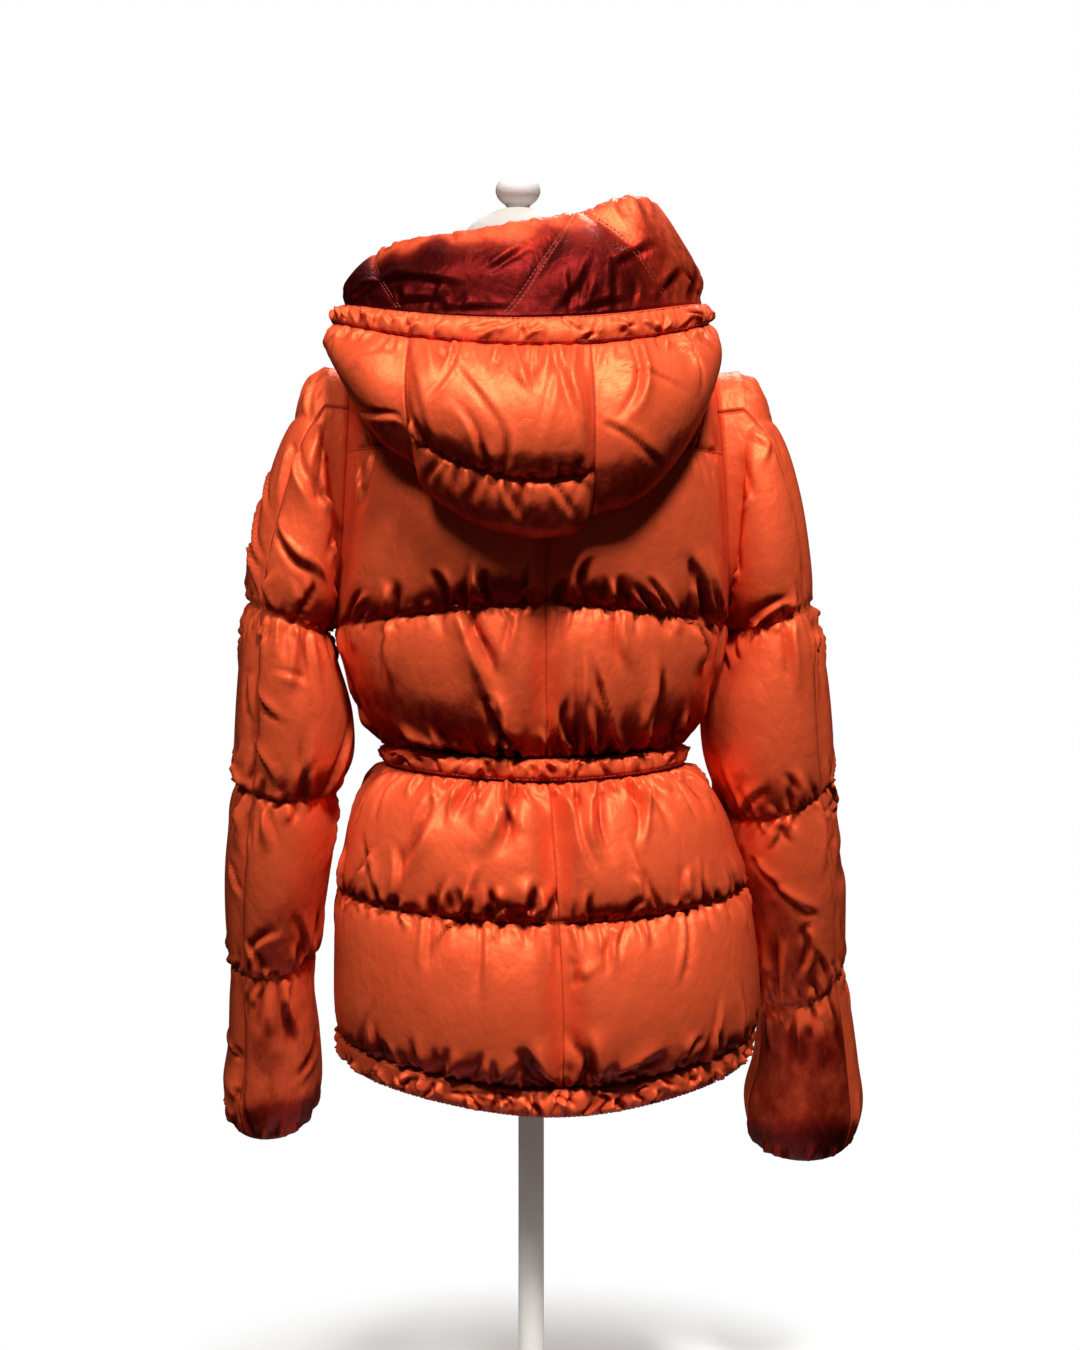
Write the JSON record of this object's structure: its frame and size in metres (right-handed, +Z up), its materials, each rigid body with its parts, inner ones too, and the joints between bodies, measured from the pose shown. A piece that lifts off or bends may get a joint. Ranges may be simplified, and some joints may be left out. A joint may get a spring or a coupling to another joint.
{
  "type": "puffer jacket on a dress form",
  "caption": "Hooded down puffer jacket in rust satin, zipped on a limbless dress form, hood thrown back, waist and hem drawn in by gathered casings.",
  "frame": {"origin": "centre of the underside of the dress form's round base", "axes": "+Z up; the front of the jacket faces -Y, its back +Y; +X is the wearer's left"},
  "size_m": [0.574, 0.3528, 1.0888],
  "materials": {
    "shell_satin": "two-tone satin taffeta, orange on its faces and deep red in its folds",
    "casing_satin": "the same satin, gathered over elastic",
    "zip_tape": "woven zip tape",
    "zip_metal": "dark nickel, worn bright at the edges",
    "form_cloth": "off-white jersey stretched over the form",
    "form_enamel": "white satin enamel"
  },
  "bodies": {
    "jacket": {"back_upper_left": "shell_satin", "back_upper_right": "shell_satin", "back_lower_left": "shell_satin", "back_lower_right": "shell_satin", "front_upper_left": "shell_satin", "front_upper_right": "shell_satin", "front_lower_left": "shell_satin", "front_lower_right": "shell_satin", "sleeve_left_back": "shell_satin", "sleeve_left_front": "shell_satin", "sleeve_right_back": "shell_satin", "sleeve_right_front": "shell_satin", "hood_brim": "shell_satin", "hood_centre": "shell_satin", "hood_left": "shell_satin", "hood_right": "shell_satin", "waist_casing": "casing_satin", "hem_casing": "casing_satin", "hood_casing": "casing_satin", "zip_tape_left": "zip_tape", "zip_tape_right": "zip_tape", "zip_slider": "zip_metal", "form_torso": "form_cloth", "form_neck_cap": "form_cloth", "form_knob": "form_enamel", "form_pole": "form_enamel", "form_base": "form_enamel"},
    "pull_tab": {"zip_pull_tab": "zip_metal"}
  },
  "joints": [
    {"name": "tab_swing", "type": "hinge", "parent": "jacket", "child": "pull_tab", "pos_m": [0, -0.09331, 0.88568], "axis": [-1, 0, 0], "range_deg": [0, 150]}
  ]
}
